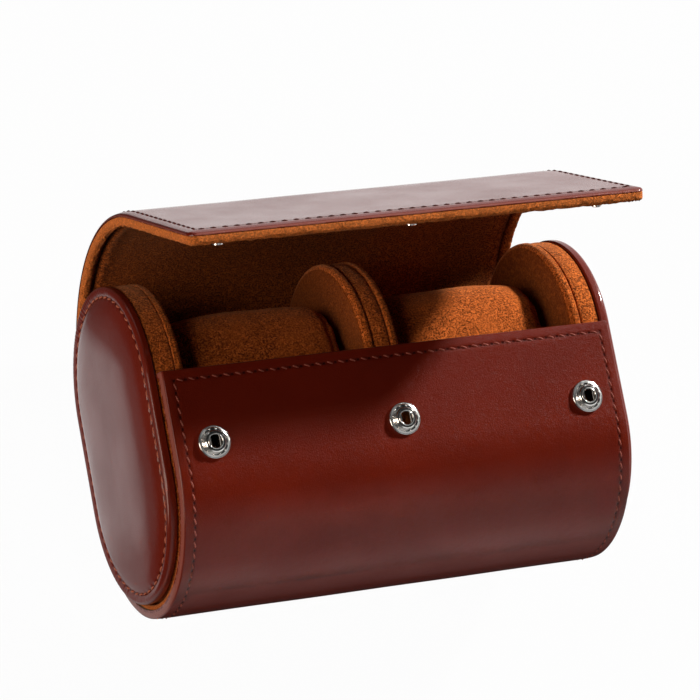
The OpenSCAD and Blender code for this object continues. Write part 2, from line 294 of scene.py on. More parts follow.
def new_piece(name, points, faces, finish, slot=None, rest=None, seam=None, crease=50):
    """Object at the origin with those faces: doubles merged, normals outward, smooth but
    for edges sharper than crease degrees. rest and seam become attributes of its points."""
    mesh = bpy.data.meshes.new(name)
    mesh.from_pydata(np.asarray(points, float).reshape(-1, 3).tolist(), [], np.asarray(faces).tolist())
    for key, value in (("rest", points if rest is None else rest), ("seam", seam)):
        if value is not None:
            layer = mesh.attributes.new(key, "FLOAT_VECTOR", "POINT")
            layer.data.foreach_set("vector", np.asarray(value, np.float32).ravel())
    work = bmesh.new()
    work.from_mesh(mesh)
    bmesh.ops.remove_doubles(work, verts=work.verts, dist=2e-6)
    bmesh.ops.dissolve_degenerate(work, dist=1e-7, edges=work.edges)
    bmesh.ops.recalc_face_normals(work, faces=work.faces)
    if work.calc_volume(signed=True) < 0:
        bmesh.ops.reverse_faces(work, faces=work.faces)
    work.to_mesh(mesh)
    work.free()
    mesh.shade_smooth()
    mesh.set_sharp_from_angle(angle=math.radians(crease))
    mesh.materials.append(MATERIALS[finish])
    piece = bpy.data.objects.new(name, mesh)
    bpy.context.scene.collection.objects.link(piece)
    return piece


def hang_on_lid(piece):
    """Takes a piece of the lid, which runs from the middle of the strip before fold k to the
    middle of the strip after it, and moves its transform into its mesh."""
    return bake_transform(piece)


# ---- Materials ----

MATERIALS = {}
BLACK, WHITE = (0, 0, 0, 1), (1, 1, 1, 1)


def connect(tree, inputs, values):
    """Links each named input to a value that is a socket, or sets it to one that isn't."""
    for key, value in values.items():
        if isinstance(value, bpy.types.NodeSocket):
            tree.links.new(value, inputs[key])
        else:
            inputs[key].default_value = value


def node(tree, kind, inputs=None, **settings):
    """A new shader node with its settings and its inputs."""
    made = tree.nodes.new("ShaderNode" + kind)
    for key, value in settings.items():
        setattr(made, key, value)
    connect(tree, made.inputs, inputs or {})
    return made


def math_node(tree, operation, *values):
    return node(tree, "Math", dict(enumerate(values)), operation=operation).outputs[0]


def times(tree, a, b):
    return math_node(tree, "MULTIPLY", a, b)


def plus(tree, a, b):
    return math_node(tree, "ADD", a, b)


def larger(tree, a, b):
    return math_node(tree, "MAXIMUM", a, b)


def remapped(tree, value, low, high, to_low=0.0, to_high=1.0):
    """The value carried from the range low to high into another, and held in it."""
    return node(tree, "MapRange", {"Value": value, "From Min": low, "From Max": high,
                                   "To Min": to_low, "To Max": to_high}).outputs["Result"]


def mixed(tree, factor, a, b):
    """Colour a drawn towards colour b by factor."""
    return node(tree, "Mix", {0: factor, 6: a, 7: b}, data_type="RGBA").outputs[2]


def axes(tree, vector):
    return node(tree, "SeparateXYZ", {0: vector}).outputs


def noise(tree, at, scale, detail, rough=0.5):
    return node(tree, "TexNoise", {"Vector": at, "Scale": scale, "Detail": detail,
                                   "Roughness": rough}).outputs


def object_noise(tree, scale, detail):
    """Noise from 0 to 1 fixed to the object, at a scale per metre."""
    return noise(tree, node(tree, "TexCoord").outputs["Object"], scale, detail)["Fac"]


def attribute(tree, name):
    return node(tree, "Attribute", attribute_name=name, attribute_type="GEOMETRY").outputs["Vector"]


def scaled(colour, factor, tint=(1, 1, 1)):
    return (*[c * factor * t for c, t in zip(colour, tint)], 1.0)


def speckled(tree, fleck, low, high, colour, dark, light):
    """A colour from dark to light times itself, as fleck runs from low to high."""
    return mixed(tree, remapped(tree, fleck, low, high), scaled(colour, dark), scaled(colour, light))


def new_group(name, inputs, outputs):
    """Empty node group with named sockets: its tree, the sockets that hold what it is
    given and those that take what it puts out."""
    tree = bpy.data.node_groups.new(name, "ShaderNodeTree")
    for key, (kind, value) in inputs.items():
        socket = tree.interface.new_socket(key, in_out="INPUT", socket_type="NodeSocket" + kind)
        if value is not None:
            socket.default_value = value
    for key, kind in outputs.items():
        tree.interface.new_socket(key, in_out="OUTPUT", socket_type="NodeSocket" + kind)
    return tree, tree.nodes.new("NodeGroupInput").outputs, tree.nodes.new("NodeGroupOutput").inputs


def placed_group(tree, group, inputs):
    return node(tree, "Group", inputs, node_tree=group).outputs


def grain_group():
    """Leather grain: pebbles from two Voronoi sizes, creased by noise, and a slow tone."""
    tree, given, out = new_group("leather grain", {"Vector": ("Vector", None), "Scale": ("Float", 1.0)},
                                 {"Height": "Float", "Tone": "Float"})
    at, scale = given["Vector"], given["Scale"]
    warp = noise(tree, at, times(tree, scale, 0.3), 2.0)["Color"]
    shift = node(tree, "VectorMath", {0: warp, 1: (0.0009,) * 3}, operation="MULTIPLY").outputs[0]
    bent = node(tree, "VectorMath", {0: at, 1: shift}, operation="ADD").outputs[0]

    def cells(scale, wide, height):
        """Heights that rise from the cells' borders over wide, in shares of a cell."""
        away = node(tree, "TexVoronoi", {"Vector": bent, "Scale": scale}, feature="DISTANCE_TO_EDGE")
        return remapped(tree, away.outputs["Distance"], 0.0, wide, 0.0, height)

    pebbles = plus(tree, cells(scale, 0.22, 0.6), cells(times(tree, scale, 2.3), 0.2, 0.4))
    slow = noise(tree, at, times(tree, scale, 0.035), 3.0, 0.6)["Fac"]
    connect(tree, out, {"Height": pebbles, "Tone": slow})
    return tree


def nap_group():
    """Suede nap: short fibres from fine noise, clumps from a middle one, and broad strokes
    where the nap was brushed. It gives a colour between three and a height."""
    tree, given, out = new_group(
        "suede nap",
        {"Vector": ("Vector", None), "Scale": ("Float", 1.0), "Dark": ("Color", BLACK),
         "Middle": ("Color", BLACK), "Light": ("Color", WHITE), "Strokes": ("Float", 0.5)},
        {"Color": "Color", "Height": "Float"})
    fibres, clumps, strokes = (
        noise(tree, given["Vector"], times(tree, given["Scale"], share), detail, rough)["Fac"]
        for share, detail, rough in ((1.0, 4.0, 0.72), (0.3, 2.0, 0.5), (0.045, 2.0, 0.6)))
    base = mixed(tree, remapped(tree, fibres, 0.42, 0.51), given["Dark"], given["Middle"])
    bright = remapped(tree, plus(tree, times(tree, fibres, 0.75), times(tree, clumps, 0.25)), 0.50, 0.61)
    lit = mixed(tree, bright, base, given["Light"])
    stroke = times(tree, remapped(tree, strokes, 0.42, 0.6), given["Strokes"])
    nap_blend = mixed(tree, 0.5, given["Light"], given["Middle"])
    height = plus(tree, times(tree, fibres, 0.65), times(tree, clumps, 0.35))
    connect(tree, out, {"Color": mixed(tree, stroke, lit, nap_blend), "Height": height})
    return tree


def holes_group():
    """Masks from a piece's seam attribute, whose X is the distance inside the seam line in
    metres and Y the place along it in stitches: Mask is near the line and near a whole
    stitch, for painted shade in the needle holes, Line near the line, for painted shade in
    the seam's groove, and the last, on the worn edge 3.85 mm outside it, makes the edge
    paler for wear and as a painted highlight."""
    tree, given, out = new_group("needle holes", {"Seam": ("Vector", None)},
                                 {"Mask": "Float", "Line": "Float", "Edge": "Float"})
    parts = axes(tree, given["Seam"])
    away = math_node(tree, "ABSOLUTE", parts["X"])
    # The worn edge: paler for wear and as a painted highlight along the leather's edge
    worn = math_node(tree, "ABSOLUTE", plus(tree, parts["X"], 3.85 * MM))
    at_hole = remapped(tree, math_node(tree, "PINGPONG", parts["Y"], 0.5), 0.13, 0.09)
    connect(tree, out, {"Mask": times(tree, remapped(tree, away, 0.42 * MM, 0.28 * MM), at_hole),
                        "Line": remapped(tree, away, 0.9 * MM, 0.2 * MM),
                        "Edge": remapped(tree, worn, 0.34 * MM, 0.16 * MM)})
    return tree


def start_material(name):
    """New material: it, its tree and its principled shader's inputs."""
    material = bpy.data.materials.new(name)
    material.use_nodes = True
    return material, material.node_tree, material.node_tree.nodes["Principled BSDF"].inputs


def bumped(tree, shader, height, distance, strength=1.0):
    bump = node(tree, "Bump", {"Height": height, "Distance": distance, "Strength": strength})
    connect(tree, shader, {"Normal": bump.outputs["Normal"]})


def leather_material(groups, look):
    """Smooth glazed leather with fine grain and a slow tone, with painted shade along its
    seam groove and in its needle holes, and paler on its worn edge, which is also a painted
    highlight along the edge."""
    material, tree, shader = start_material("glazed leather")
    grain = placed_group(tree, groups["grain"],
                         {"Vector": attribute(tree, "rest"), "Scale": 1000 / look.grain_mm})
    holes = placed_group(tree, groups["holes"], {"Seam": attribute(tree, "seam")})
    tone, mask = grain["Tone"], holes["Mask"]
    colour = speckled(tree, tone, 0.36, 0.64, look.leather, 0.93, 1.07)
    # Painted shade along the seam groove and in the needle holes, then the worn edge paler for wear and as a
    # painted highlight
    for share, towards in ((times(tree, holes["Line"], 0.35), scaled(look.leather, 0.4)),
                           (mask, scaled(look.leather, 0.28)),
                           (times(tree, holes["Edge"], 0.5), (0.30, 0.11, 0.085, 1))):
        colour = mixed(tree, share, colour, towards)
    rough = plus(tree, remapped(tree, tone, 0.3, 0.7, 0.37, 0.33), times(tree, mask, 0.4))
    connect(tree, shader, {"Base Color": colour, "Roughness": rough, "Specular IOR Level": 0.05,
                           "Coat Weight": remapped(tree, tone, 0.35, 0.65, 0.52, 0.72),
                           "Coat Roughness": 0.11, "Coat IOR": 1.42})
    height = math_node(tree, "SUBTRACT", grain["Height"], times(tree, mask, 3.0))
    bumped(tree, shader, height, 0.065 * MM, 0.9)
    return material


def suede_material(groups, look, name, colour, shades, strokes=0.10, pile=0.6, inside=None, sheen=0.18):
    """Suede: mottled nap with a soft sheen. shades are the strengths of its dark, middle
    and light fibres, and pile its depth in mm. A sheet has inside, the share of its colour
    kept away from its cut edges as painted shade for the inside of the case; its cut edges
    are paler, and painted shade darkens its seam's crease."""
    material, tree, shader = start_material(name)
    dark, middle, light = shades
    nap = placed_group(tree, groups["nap"],
                       {"Vector": attribute(tree, "rest"), "Scale": 1000 / look.nap_mm,
                        "Dark": scaled(colour, dark), "Middle": scaled(colour, middle),
                        "Light": scaled(colour, light, (1, 1.1, 1.2)), "Strokes": strokes})
    shown = nap["Color"]
    if inside is not None:
        marks = axes(tree, attribute(tree, "seam"))
        pale = mixed(tree, 0.30, shown, scaled(colour, 1, (2, 3, 5)))
        # Painted shade for the inside of the case: away from the cut edges the colour falls to the share
        # inside; the cut edges are paler
        nap_blend = mixed(tree, marks["Z"], mixed(tree, 1 - inside, shown, BLACK), pale)
        # Painted shade in the seam's crease
        shown = mixed(tree, times(tree, marks["Y"], 0.85), nap_blend, scaled(colour, 0.05))
    connect(tree, shader, {"Base Color": shown, "Roughness": 0.95, "Specular IOR Level": 0.05,
                           "Sheen Weight": sheen, "Sheen Roughness": 0.45,
                           "Sheen Tint": (0.9, 0.46, 0.25, 1)})
    bumped(tree, shader, nap["Height"], pile * MM)
    return material


def thread_material(name, colour):
    """Waxed thread with a fine twist."""
    material, tree, shader = start_material(name)
    twist = object_noise(tree, 4500.0, 1.0)
    connect(tree, shader, {"Base Color": speckled(tree, twist, 0.35, 0.65, colour, 0.6, 1.5),
                           "Roughness": 0.6, "Specular IOR Level": 0.15})
    bumped(tree, shader, twist, 0.06 * MM)
    return material


def metal_material(name, colour):
    """Polished metal with fine rubbing marks and a little tarnish."""
    material, tree, shader = start_material(name)
    rub, stain = object_noise(tree, 1800.0, 4.0), object_noise(tree, 260.0, 2.0)
    connect(tree, shader, {"Base Color": speckled(tree, stain, 0.4, 0.62, colour, 1.0, 0.9),
                           "Roughness": remapped(tree, rub, 0.3, 0.7, 0.13, 0.22), "Metallic": 1.0})
    bumped(tree, shader, rub, 0.01 * MM, 0.3)
    return material


def board_material(name, colour):
    """Matt board, speckled by noise."""
    material, tree, shader = start_material(name)
    speck = object_noise(tree, 900.0, 5.0)
    connect(tree, shader, {"Base Color": speckled(tree, speck, 0.35, 0.65, colour, 0.7, 1.1),
                           "Roughness": 0.9})
    bumped(tree, shader, speck, 0.1 * MM)
    return material


def build_materials(look):
    groups = {"grain": grain_group(), "nap": nap_group(), "holes": holes_group()}
    rough = (0.20, 0.95, 1.85)
    MATERIALS.update({
        "leather": leather_material(groups, look),
        # The lining's inside of 0.55 is painted shade for the inside of the case
        "lining": suede_material(groups, look, "lining suede", look.suede, rough, inside=0.55),
        "band": suede_material(groups, look, "band suede", look.suede, rough, sheen=0.30),
        # The faces' suede: the lining's colour in a smoother nap, darkened as painted shade for faces that
        # sit in shade
        "face": suede_material(groups, look, "face suede with painted shade", look.suede, (0.26, 0.44, 0.80), 0.15, 0.3),
        "cushion": suede_material(groups, look, "cushion suede", look.cushion, (0.22, 0.9, 1.7), 0.30),
        "thread": thread_material("waxed thread", look.thread),
        "lid thread": thread_material("dark waxed thread", (0.05, 0.008, 0.004)),
        "cap thread": thread_material("worn waxed thread", (0.34, 0.105, 0.060)),
        "nickel": metal_material("polished nickel", look.nickel),
        # The springs are darkened so the socket's hole reads dark: painted shade in the hole
        "spring": metal_material("spring steel darkened as painted shade", (0.16, 0.155, 0.15)),
        "board": board_material("grey board", (0.30, 0.22, 0.15)),
    })


def finish_node(name, finish):
    """Gives a CAD node its finish."""
    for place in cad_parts[name].material_slots:
        place.material = MATERIALS[finish]


# ---- Sheets ----

def seam_count(length, pitch):
    return max(1, round(length / pitch))


def sheet_seam(x, t, half_w, end, sizes):
    """Seam coordinates of a sheet with straight seams inside its sides and its free end:
    signed distance inside the seam line, and place along it in stitches."""
    rim, last = half_w - sizes.seam_inset, end - sizes.seam_inset
    side, front = rim - np.abs(x), last - t
    side_pitch = last / seam_count(last, sizes.stitch_pitch)
    front_pitch = 2 * rim / seam_count(2 * rim, sizes.stitch_pitch)
    along = np.where(np.abs(side) < np.abs(front), front / side_pitch, (x + rim) / front_pitch)
    return np.minimum(side, front), along


def leather_rise(edge, depth, seam, along, x, t, inset, lean):
    """Height of a leather face over its flat: turned down to depth at the edge, a bell-shaped
    groove along the seam that is deepest at each hole, a margin outside it that leans down
    as a power of its width, and slow unevenness that fades at the edge."""
    fall = turned_down(edge, depth, 0.7 * MM)
    pull = 0.20 * MM * (0.72 + 0.28 * np.cos(2 * math.pi * along)) * bell(seam, 0.6 * MM)
    margin = lean * unit(-seam / inset) ** 1.7 * (1 - fall / depth)
    uneven = 0.10 * MM * waves(x, t, 46 * MM, 2.0) * unit(edge / (9 * MM))
    return uneven - margin - fall - pull


def snap_holes(rows, columns):
    """Which quads of a grid have their middle in the square hole under a snap."""
    middle_u, middle_x = (rows[1:] + rows[:-1]) / 2, (columns[1:] + columns[:-1]) / 2
    near_x = np.abs(middle_x[:, None] - np.array(SNAP_X)).min(1) < SNAP_HOLE
    return (np.abs(middle_u - SNAP_U) < SNAP_HOLE)[:, None] & near_x


def snap_seats(x, t, place, depth, reach, soft):
    """Depth of the three round seats at t = place: whole within reach of each one's middle,
    then falling in a straight line to nothing over soft."""
    return sum(depth * unit(1 - (np.hypot(x - c, t - place) - reach) / soft) for c in SNAP_X)


def sheet_piece(name, path, x, t, heights, flat_heights, marks, finish, slot, holes=None):
    """Closed sheet between two heights out of a path. Its rest attribute is each point's
    place in the flat sheet, by flat_heights, and its seam attribute each face's marks."""
    points, faces = slab(*(carried(path, x, t, h) for h in heights), holes)
    flat_t = -t if path is wrap_path else t

    def stacked(parts):
        """The three parts of each face's vectors, one row for each point."""
        grids = [np.stack(np.broadcast_arrays(x, *part)[1:], -1) for part in parts]
        return np.concatenate([grid.reshape(-1, 3) for grid in grids])

    rest = stacked([(x, flat_t, h) for h in flat_heights])
    return new_piece(name, points, faces, finish, slot, rest, stacked(marks))


# The marks of a leather's inner face, which carries no needle holes
BARE = (1.0, 1.0, 1.0)


def wrap_leather_piece(sizes):
    """Leather over the board: outer face by leather_rise, inner face a wall's thickness
    below it, both drawn down over the board's edges; square holes lie under the snaps."""
    out_w = HALF_W + LEATHER_OVER
    end = FRONT_L + EDGE_Y
    u = spaced(0, end, EDGE_STEPS, ROW_STEP, beside([SNAP_U], SNAP_HOLE))
    columns = spaced(-out_w, out_w, EDGE_STEPS, LEATHER_STEP, beside(SNAP_X, SNAP_HOLE))
    x, t, edge = sheet_grid(u, columns, out_w, end, PANEL_CORNER_R)
    seam, along = sheet_seam(x, t, out_w, end, sizes)
    front = end - t < FRONT_TURN
    foot = np.where(front, INNER_R, INNER_R + LINING_T + PLY)
    top = OUTER_R + leather_rise(edge, OUTER_R - foot, seam, along, x, t, sizes.seam_inset, WRAP_LEAN)
    wall = np.where(edge > np.where(front, FRONT_WALL, SIDE_WALL), OUTER_R - LEATHER_T - BOARD_GAP, foot)
    piece = sheet_piece("wrap_leather_skin", wrap_path, x, t, (top, np.minimum(wall, top)), (top, top),
                        ((seam, along, 0), BARE), "leather", "leather", snap_holes(u, columns))
    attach(piece, "case")
    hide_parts("wrap_leather")


def wrap_lining_piece():
    """Suede against the board: inner face uneven by noise and rounded at its edges, a
    shallow seat round each snap's back, and a ramp at the hinge down to the lid's lining."""
    end = FRONT_L + LINING_EDGE_Y
    u = spaced(0, end, EDGE_STEPS, ROW_STEP, beside([SNAP_U], SNAP_HOLE, BACK_SEAT))
    columns = spaced(-HALF_W, HALF_W, EDGE_STEPS, LINING_STEP, beside(SNAP_X, SNAP_HOLE, BACK_SEAT))
    x, t, edge = sheet_grid(u, columns, HALF_W, end, PANEL_CORNER_R)
    round_off = turned_down(edge, 0.8 * MM, 0.9 * MM)
    ramp = 0.4 * MM * unit(1 - t / (4 * MM))
    low = INNER_R + round_off + 0.05 * MM * hashed(x, t) + ramp
    low = low + snap_seats(x, t, SNAP_U, 0.3 * MM, 4.4 * MM, 0.8 * MM)
    high = INNER_R + LINING_T - round_off
    # Z, the share of the pale cut edge over the painted shade inside, reaches only half at the edge
    marks = (0, 0, 0.5 * unit(1.25 - edge / (1.6 * MM)))
    piece = sheet_piece("wrap_lining_suede", wrap_path, x, t, (low, np.maximum(high, low)), (low, high),
                        (marks, marks), "lining", "lining_suede", snap_holes(u, columns))
    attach(piece, "case")
    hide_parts("wrap_lining")


def lid_rows(k, extra=()):
    """Rows of lid piece k: even steps, finer beside the cuts that it shares and, on the
    last piece, beside its free edge."""
    start, stop = LID_SEAMS[k], LID_SEAMS[k + 1]
    if k < LAST:
        return spaced(start, stop, END_STEPS, ROW_STEP, extra)
    rows = spaced(start, stop, EDGE_STEPS, ROW_STEP, extra)
    return np.unique(np.concatenate([rows[rows > start + END_STEPS[-1]], start + END_STEPS]))


def lid_leather_piece(k, sizes):
    """Leather of the lid from one strip's middle to the next: a sheet 1.5 mm thick whose
    faces meet at its rounded edges. A smooth step over the first 10 mm from the hinge takes
    it from the wrap's deeper edge to its own."""
    out_w = HALF_W + LEATHER_OVER
    s = lid_rows(k)
    step = unit(s / (10 * MM))[:, None]
    step = step * step * (3 - 2 * step)
    columns = spaced(-out_w, out_w, EDGE_STEPS, LEATHER_STEP)
    x, t, edge = sheet_grid(s, columns, out_w, LID_L, CORNER_R, 0.25 * MM * step)
    seam, along = sheet_seam(x, t, out_w, LID_L, sizes)
    wrap_foot = LID_T - (OUTER_R - INNER_R - LINING_T - PLY)
    foot = (1 - step) * wrap_foot + step * (LID_LINING_T + PLY)
    lean = step * LID_LEAN + (1 - step) * WRAP_LEAN
    top = LID_T + leather_rise(edge, LID_T - foot, seam, along, x, -t, sizes.seam_inset, lean)
    wall = np.where(edge > SIDE_WALL, LID_LINING_T + 0.1 * MM, foot)
    piece = sheet_piece(f"lid_leather_skin_{k + 1}", lid_path, x, t, (top, np.minimum(wall, top)),
                        (top, top), ((seam, along, 0), BARE), "leather", "leather")
    hang_on_lid(piece)
    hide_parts(f"lid_leather_{k + 1}")


def lid_lining_piece(k, sizes):
    """Suede under the lid: inner face with a soft valley along the seam, a roll on each
    side of it that grows away from the hinge, nap that is roughest at the cut edges,
    rounded edges, and a shallow seat round each stud."""
    s = lid_rows(k, beside([STUD_S], STUD_SEAT) if k == LAST else ())
    columns = spaced(-HALF_W, HALF_W, EDGE_STEPS, LINING_STEP)
    x, t, edge = sheet_grid(s, columns, HALF_W, LID_L, CORNER_R)
    seam, along = sheet_seam(x, t, HALF_W, LID_L, sizes)
    round_off = turned_down(edge, 1.0 * MM, 1.1 * MM)
    valley = 1.1 * MM * (0.85 + 0.15 * np.cos(2 * math.pi * along)) * bell(seam, 0.95 * MM)
    grown = unit((t - 38 * MM) / (22 * MM))
    outer_roll = (0.15 + 0.15 * grown) * MM * bell(seam + 2.3 * MM, 1.3 * MM)
    inner_roll = (0.15 + 0.25 * grown) * MM * bell(seam - 2.4 * MM, 1.4 * MM)
    ragged = (0.10 + 0.20 * unit(1.5 - edge / (3 * MM))) * MM * hashed(x, t)
    # Two pieces meet at a cut, where neither is ragged
    from_cut = t - LID_SEAMS[k]
    if k < LAST:
        from_cut = np.minimum(from_cut, LID_SEAMS[k + 1] - t)
    low = round_off + valley - (outer_roll + inner_roll) + ragged * unit(from_cut / (0.3 * MM))
    if k == LAST:
        low = low + snap_seats(x, t, STUD_S, 0.25 * MM, 4.0 * MM, 0.9 * MM)
    high = LID_LINING_T - 0.3 * round_off
    # Y is painted shade in the seam's crease; Z the share of the pale cut edge over the painted shade inside
    marks = (seam, bell(seam, 0.7 * MM), unit(1.25 - edge / (2.4 * MM)))
    piece = sheet_piece(f"lid_lining_suede_{k + 1}", lid_path, x, t, (low, np.maximum(high, low)),
                        (low, high), (marks, marks), "lining", "lining_suede")
    hang_on_lid(piece)
    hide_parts(f"lid_lining_{k + 1}")


# ---- Stitches ----

def stitches(places, along, out, length, thick, slant):
    """Points and faces of thread arches: for each stitch a six-sided tube of five rings
    along a line turned by slant degrees, lifted by a half sine and drawn to a point at
    each end."""
    along = along / np.linalg.norm(along, axis=1, keepdims=True)
    out = out / np.linalg.norm(out, axis=1, keepdims=True)
    slant = np.broadcast_to(np.radians(slant), len(places))[:, None]
    run = along * np.cos(slant) + np.cross(out, along) * np.sin(slant)
    across = np.cross(out, run)
    p = np.linspace(-1, 1, 5)
    radius = thick / 2 * np.array([0, 0.85, 1, 0.85, 0])
    lift = thick * (0.62 * np.cos(p * math.pi / 2) - 0.45)
    a = (np.arange(6) * math.pi / 3)[None, None, :, None]
    centre = places[:, None, :] + run[:, None, :] * (p * length / 2)[None, :, None] \
        + out[:, None, :] * lift[None, :, None]
    ring = out[:, None, None, :] * np.cos(a) + across[:, None, None, :] * np.sin(a)
    points = centre[:, :, None, :] + ring * radius[None, :, None, None]
    return points.reshape(-1, 3), tube_faces(len(places), 5, 6)


def stitch_places(half_w, end, sizes):
    """Rows x, t and front of a sheet's stitches: the middles between needle holes on the
    two sides, back from the front corners, and on the front, where front is 1."""
    rim, last = half_w - sizes.seam_inset, end - sizes.seam_inset
    count = seam_count(last, sizes.stitch_pitch)
    across = seam_count(2 * rim, sizes.stitch_pitch)
    t = last * (1 - (np.arange(count) + 0.5) / count)
    x = rim * (2 * (np.arange(across) + 0.5) / across - 1)
    return np.stack([np.concatenate([np.full(count, -rim), np.full(count, rim), x]),
                     np.concatenate([t, t, np.full(across, last)]),
                     np.repeat([0, 1], [2 * count, across])])


def sheet_stitches(path, places, height, sizes, facing=1):
    """Stitches that lie on a sheet, along its sides or along its front, on the face that
    looks out of the path or, with facing -1, into it."""
    x, t, front = places
    _, _, ny, nz = path(t)
    out = facing * np.stack([0 * x, ny, nz], -1)
    along = np.where(front[:, None] > 0, [1.0, 0, 0], np.stack([0 * x, -nz, ny], -1))
    return stitches(carried(path, x, t, height), along, out, sizes.stitch_length, sizes.thread_d,
                    np.where(front > 0, FRONT_SLANT, SIDE_SLANT))


def build_stitches(sizes):
    """Thread of the wrap's seams, then of both faces of each piece of the lid."""
    out_w = HALF_W + LEATHER_OVER
    places = stitch_places(out_w, FRONT_L + EDGE_Y, sizes)
    points, faces = sheet_stitches(wrap_path, places, OUTER_R - THREAD_BED, sizes)
    piece = new_piece("wrap_stitches", points, faces, "thread")
    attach(piece, "case")
    lid_faces = ((stitch_places(out_w, LID_L, sizes), LID_T - THREAD_BED, 1),
                 (stitch_places(HALF_W, LID_L, sizes), LID_THREAD_H, -1))
    for k in range(len(FOLDS)):
        parts = []
        for places, height, facing in lid_faces:
            here = places[:, (places[1] >= LID_SEAMS[k]) & (places[1] < LID_SEAMS[k + 1])]
            parts.append(sheet_stitches(lid_path, here, height, sizes, facing))
        piece = new_piece(f"lid_stitches_{k + 1}", *joined(parts), "lid thread")
        hang_on_lid(piece)


# ---- Ends and divider ----

def profile_steps(corners, step):
    """Places along a profile through the corners, whose sharp turns are rounded: each
    corner (r, h, radius) is a quadratic arc, and the runs between are cut into steps."""
    line = []
    for i, (r, h, soft) in enumerate(corners):
        here = np.array([r, h])
        if i in (0, len(corners) - 1) or soft <= 0:
            line.append(here[None])
            continue
        before, after = np.array(corners[i - 1][:2]) - here, np.array(corners[i + 1][:2]) - here
        a = here + before / np.linalg.norm(before) * min(soft, np.linalg.norm(before) / 2)
        b = here + after / np.linalg.norm(after) * min(soft, np.linalg.norm(after) / 2)
        q = np.linspace(0, 1, 7)[:, None]
        line.append((1 - q) ** 2 * a + 2 * q * (1 - q) * here + q ** 2 * b)
    line = np.concatenate(line)
    runs = []
    for a, b in zip(line, line[1:]):
        count = max(1, math.ceil(np.linalg.norm(b - a) / step))
        runs.append(a + (b - a) * (np.arange(count) / count)[:, None])
    return np.concatenate(runs + [line[-1:]])


def round_track(r, h, y, ny, nz, side, base):
    """Points of profile radii r and heights h, each (profile, track), carried round the
    stadium: along X from base, to the left or right by side."""
    x = side * (base + h)
    return np.stack(np.broadcast_arrays(x, y + r * ny, MID_Z + r * nz), -1)


def in_metres(corners):
    return [tuple(value * MM for value in corner) for corner in corners]


CAP_X = 80.2 * MM
CAP_SEAM_R = 33.3 * MM
CAP_THREAD_H = 2.80 * MM
# Radius, height and rounding of the cap's corners, in mm
CAP_PROFILE = [(0, 0, 0), (36.4, 0, 0), (36.8, 0.3, 0.2), (36.8, 2.5, 0.7), (35.9, 3.45, 0.7),
               (35.1, 3.35, 0.4), (34.2, 3.05, 0.5), (33.3, 2.50, 0.6), (32.3, 3.30, 0.9),
               (29.6, 4.25, 2.4), (22.0, 4.95, 5.5), (10, 5.12, 5.0), (0, 5.15, 0)]


def end_cap(side, sizes):
    """Padded leather end: the profile of its rolled rim, seam groove and crowned middle
    carried round the stadium, with gathers on the rim where the track is round. The
    stitches stand half way between the needle holes, by length along the seam."""
    name = "left" if side < 0 else "right"
    profile = profile_steps(in_metres(CAP_PROFILE), 0.9 * MM)
    y, ny, nz = track_path(50, 330)
    turn = np.unwrap(np.arctan2(nz, ny))
    count = seam_count(2 * math.pi * CAP_SEAM_R + 2 * FLAT_L, sizes.stitch_pitch)
    seam_line = np.stack([np.full_like(y, side * (CAP_X + CAP_THREAD_H)), y + CAP_SEAM_R * ny,
                          MID_Z + CAP_SEAM_R * nz], -1)
    seam_line = np.concatenate([seam_line, seam_line[:1]])
    steps = np.diff(seam_line, axis=0)
    arc = np.concatenate([[0], np.cumsum(np.linalg.norm(steps, axis=1))])
    along = arc / arc[-1] * count
    r, h = profile[:, :1] * np.ones_like(y), profile[:, 1:] * np.ones_like(y)
    seam = r - CAP_SEAM_R
    top = unit(h / MM)
    gathers = 0.5 - np.abs(np.sin(turn * 74 + 1.3 * np.sin(turn * 9) + 0.9 * np.sin(turn * 23)))
    rim = unit(seam / (0.6 * MM)) * unit((DISC_R - r) / (1.2 * MM))
    pucker = np.cos(2 * math.pi * along[:-1]) * bell(seam, 1.0 * MM)
    crown = waves((y + r * ny), r * nz, 38 * MM, 5.0 + side) * unit(1 - r / (34 * MM))
    h = h + 0.15 * MM * gathers * ny ** 2 * rim * top
    h = h - 0.10 * MM * pucker * top
    h = h + 0.10 * MM * crown * top
    points, faces = swept(round_track(r, h, y, ny, nz, side, CAP_X))
    marks = np.stack([np.abs(seam), along[:-1] * np.ones_like(r), 0 * r], -1)
    piece = new_piece(f"{name}_end_cap", points, faces, "leather", "leather", None, marks)
    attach(piece, "case")
    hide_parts(f"{name}_end_leather", f"{name}_end_pad")
    at = np.interp(np.arange(count) + 0.5, along, np.arange(len(along)))
    low = at.astype(int)
    spots = seam_line[low] + steps[low] * (at - low)[:, None]
    out = np.tile([float(side), 0, 0], (count, 1))
    points, faces = stitches(spots, steps[low], out, sizes.stitch_length, sizes.thread_d, CAP_SLANT)
    piece = new_piece(f"{name}_end_stitches", points, faces, "cap thread")
    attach(piece, "case")


def napped_track(profile, rough_from, side, base):
    """Profile carried round the stadium, its radii past rough_from made uneven by nap."""
    y, ny, nz = track_path(32, 110)
    r, h = profile[:, :1] * np.ones_like(y), profile[:, 1:] * np.ones_like(y)
    rough = 0.05 * MM * hashed(r, h + ny, nz + y)
    return round_track(np.where(r > rough_from, r + rough, r), h, y, ny, nz, side, base)


